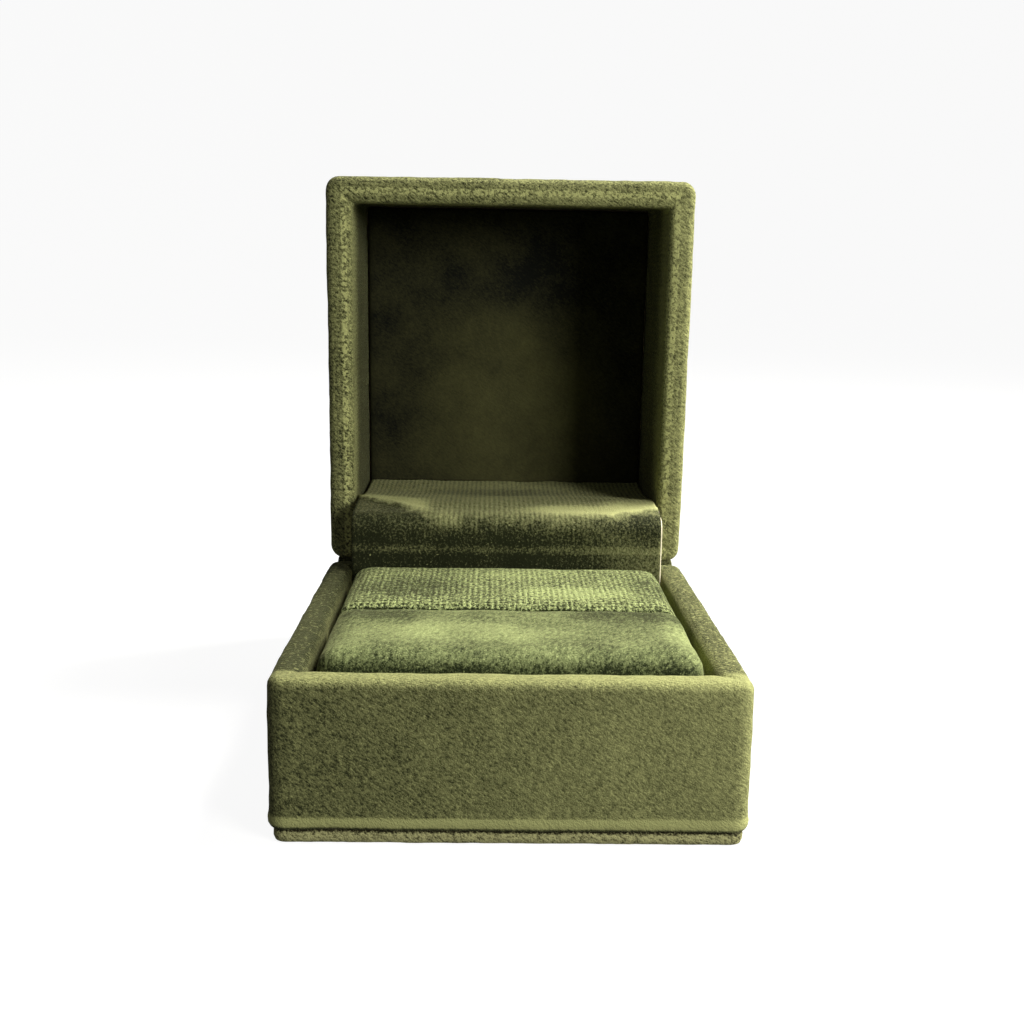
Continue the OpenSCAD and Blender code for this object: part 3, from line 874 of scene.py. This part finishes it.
def crease(x):
    """Where the crest of the flap's crease runs at x: near the fold, and further back at its ends."""
    left, right = max(0, CREASE_LEFT - x / MM), max(0, x / MM - CREASE_RIGHT)
    return (CREASE_Y + LEFT_LEAN * left + RIGHT_LEAN * right) * MM


def folded_leaf(name, depth, aside, material, thickness):
    """A flat cut of the flap folded to its place: depth below its outer face, pushed aside. It
    rises a little behind the fold, over the spring, and sags further in."""
    radius = fold_r - depth
    corners = [(flap_low.y + depth, flap_low.z, 0), (flap_low.y + depth, flap_high.z - depth, radius),
               (flap_high.y, flap_high.z - depth, 0)]
    path = rounded_path(corners, FLAP_STEP)
    runs = [0]
    for a, b in zip(path, path[1:]):
        runs.append(runs[-1] + (b - a).length)
    width = flap_high.x - flap_low.x
    bm = bmesh.new()
    bmesh.ops.create_grid(bm, x_segments=round(width / FLAP_STEP), y_segments=round(runs[-1] / FLAP_STEP),
                          size=0.5)
    at = 0
    for v in sorted(bm.verts, key=lambda v: v.co.y):
        x, along = v.co.x * width, (v.co.y + 0.5) * runs[-1]
        while at < len(path) - 2 and runs[at + 1] < along:
            at += 1
        share = (along - runs[at]) / (runs[at + 1] - runs[at])
        y, z = path[at].lerp(path[at + 1], share)
        ease = min(1, max(0, (y - flap_low.y - 2 * MM) / (3 * MM)))
        ridge = ridge_height * ease * math.exp(-(((y - crease(x)) / ridge_width) ** 2))
        crown = crown_height * hump(y, crown_start, crown_length) ** 2
        sag = sag_depth * hump(y, sag_start, sag_length)
        v.co = (x + aside, y, z + crown - sag + (ridge if z > flap_high.z - 1.5 * MM else 0))
    turn_outward(bm, Vector((0, 0, 1)))
    if depth == 0:
        soften(bm, [(0.16 * MM, 5 * MM), (0.07 * MM, 1.4 * MM)])
    return piece_of(name, bm, material, thickness)


def flap_lint_and_painted_light(pile, at):
    """Painted light on the flat top beyond the crease, with a painted highlight on the crest where
    it leans back, and painted shade on the upright front before it. On the top lie a painted pool
    of light near the front at the right and a painted shadow of the lid further back. The upright
    front has a faint band across it and is painted lighter at the right, where the light from the
    right falls, and a few hairs of lint are lighter."""
    x, y, z = pile.along(at)
    left, right = (CREASE_LEFT - x).above(0), (x - CREASE_RIGHT).above(0)
    waver = 5 * pile.grain(at, (2.4, 2.4, 2.4)) - 2.5
    past = y - (CREASE_Y + LEFT_LEAN * left + RIGHT_LEAN * right) + waver
    beyond = pile.step(past, -2.6, 1.6) * pile.step(z, 27.5, 30.2)
    crest = beyond * (1 - pile.step(past, 3, 10)) * pile.step(left + right, 0.5, 4)
    pool_and_shadow = oval(pile, at, (11, 27, 31), (11, 4, 5)) - 0.3 * oval(pile, at, (0, 46, 31), (20, 7, 6))
    upright = 1 - pile.step(z, 26, 30.4)
    wobble = 2.6 * pile.grain(at, (2, 2, 2), 2)
    rows = beyond * pile_rows(x, wobble, pile.grain(at, (0.4, 0.7, 0.4), 2))
    faint = pile.step(z, 24.6, 25.6) * (1 - pile.step(z, 25.8, 26.8)) + 1.4 * pile.step(x, 8, 24)
    lint = pile.step(pile.grain(at, (0.45, 0.28, 0.28), 0), 0.84, 0.88)
    return (0.34 * beyond + 0.8 * crest + 0.8 * pool_and_shadow * (1 - upright) + 0.24 * rows
            + (0.15 * faint - 0.1) * upright - 0.38 + 0.5 * lint)


flap_finish = velvet("velvet_flap", dye(30, 34, 15), dye(186, 188, 128), (0.1, 0, 0), flap_lint_and_painted_light,
                     turn=(0, 0, 90), fleck=(0.8, 0.4, 0.4), fleck_share=1.4, cloud_share=0.35,
                     spark_share=0.06)
flap_velvet = folded_leaf("flap_velvet", 0, 0, flap_finish, velvet_leaf)
flap_card = folded_leaf("flap_card", card_depth, card_aside, cream_card, card_t)
for leaf, node, finish in ((flap_velvet, "hinge_flap", "velvet_pad"),
                           (flap_card, "flap_backing", "cream_card")):
    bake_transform(leaf)
    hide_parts(node)


# ---- Velvet across the back ----
# A short strip of the same velvet, glued to the back of the base and of the lid. The lid turns
# on it. It runs round the box's corners a little, so that no gap shows there.
spine_low, spine_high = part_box("back_spine")
past_corner = 2 * MM
spine_w = spine_high.x - spine_low.x + 2 * past_corner
spine_t = 0.45 * MM
leg = 8 * MM
bm = bmesh.new()
bmesh.ops.create_grid(bm, x_segments=round(spine_w / LID_STEP), y_segments=34, size=0.5)
for v in bm.verts:
    x, along = v.co.x * spine_w, v.co.y * 2 * leg
    down, back = max(0, -along), max(0, along)
    round_corner = max(0, abs(x) - (wrap_high.x - corner_r))
    tucked = corner_r - math.sqrt(corner_r ** 2 - round_corner ** 2)
    near = 0.1 * MM * math.exp(-((along / (0.9 * MM)) ** 2))
    y = pivot.y + spine_t + back * math.sin(opened) + near - (tucked if along < 0 else 0)
    z = pivot.z - spine_t - down + back * math.cos(opened) - near + (tucked if along > 0 else 0)
    v.co = (x, y, z)
turn_outward(bm, Vector((0, 1, 0)))
soften(bm, [(0.05 * MM, 3 * MM)])
spine_velvet = piece_of("spine_velvet", bm, base_finish, spine_t * 0.9)
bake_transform(spine_velvet)
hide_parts("back_spine")
